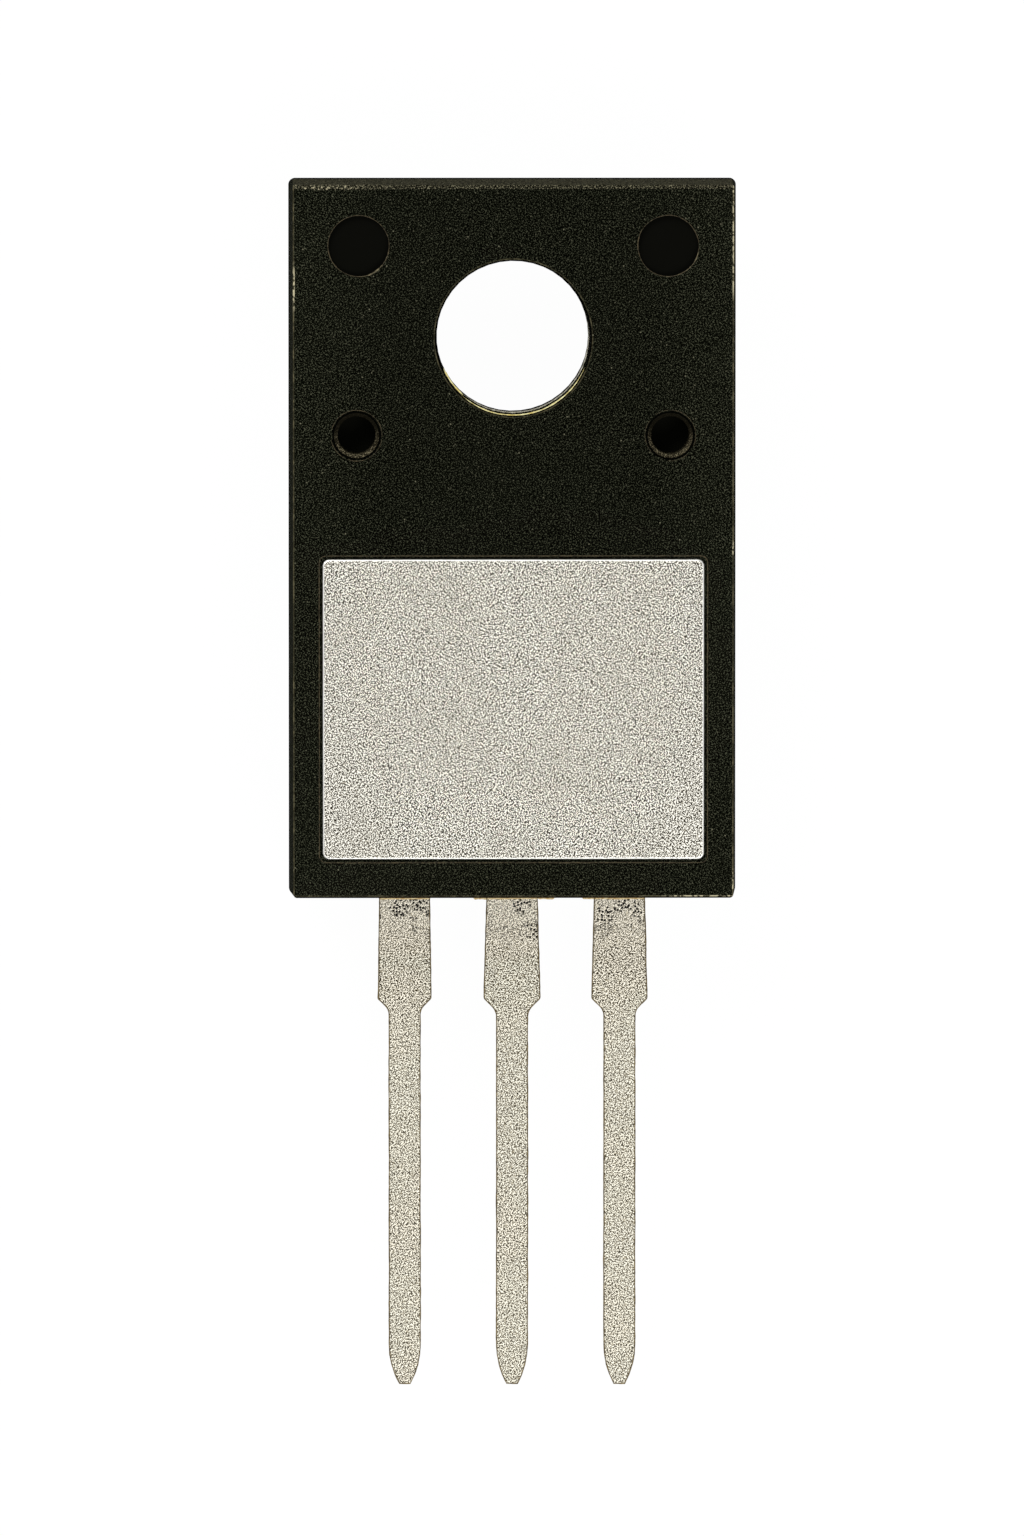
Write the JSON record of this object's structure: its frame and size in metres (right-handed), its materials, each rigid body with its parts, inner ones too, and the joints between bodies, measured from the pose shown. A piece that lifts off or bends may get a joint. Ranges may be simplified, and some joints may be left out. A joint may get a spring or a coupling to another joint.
{
  "type": "power transistor",
  "caption": "Flat power transistor moulded in black resin, with a screw hole through its thin end, a bare metal heat-sink face in its back and flat leads at its other end.",
  "frame": {"origin": "centre of the whole part's footprint, on the plane of the body's front face that it lies on", "axes": "+Z out of the back, through the bare metal face; +Y towards the end with the mounting hole, with the leads pointing to -Y; +X towards the base lead"},
  "size_m": [0.0106, 0.0286, 0.0046],
  "materials": {
    "moulding_compound": "matte, finely grained moulding compound with worn pale edges",
    "plated_copper": "matt grey-white plating with a fine grain",
    "plated_leads": "matt grey-white plating, pitted near the roots, bare copper at the sheared ends",
    "silicon": "dark metallised chip",
    "solder": "dull grey solder",
    "bond_wire": "bright drawn wire"
  },
  "bodies": {
    "root": {"moulded_body": "moulding_compound", "heat_spreader": "plated_copper", "collector_lead": "plated_leads", "base_lead": "plated_leads", "emitter_lead": "plated_leads", "silicon_die": "silicon", "die_solder": "solder", "foot_solder": "solder", "base_wire": "bond_wire", "emitter_wire_1": "bond_wire", "emitter_wire_2": "bond_wire"}
  },
  "joints": []
}
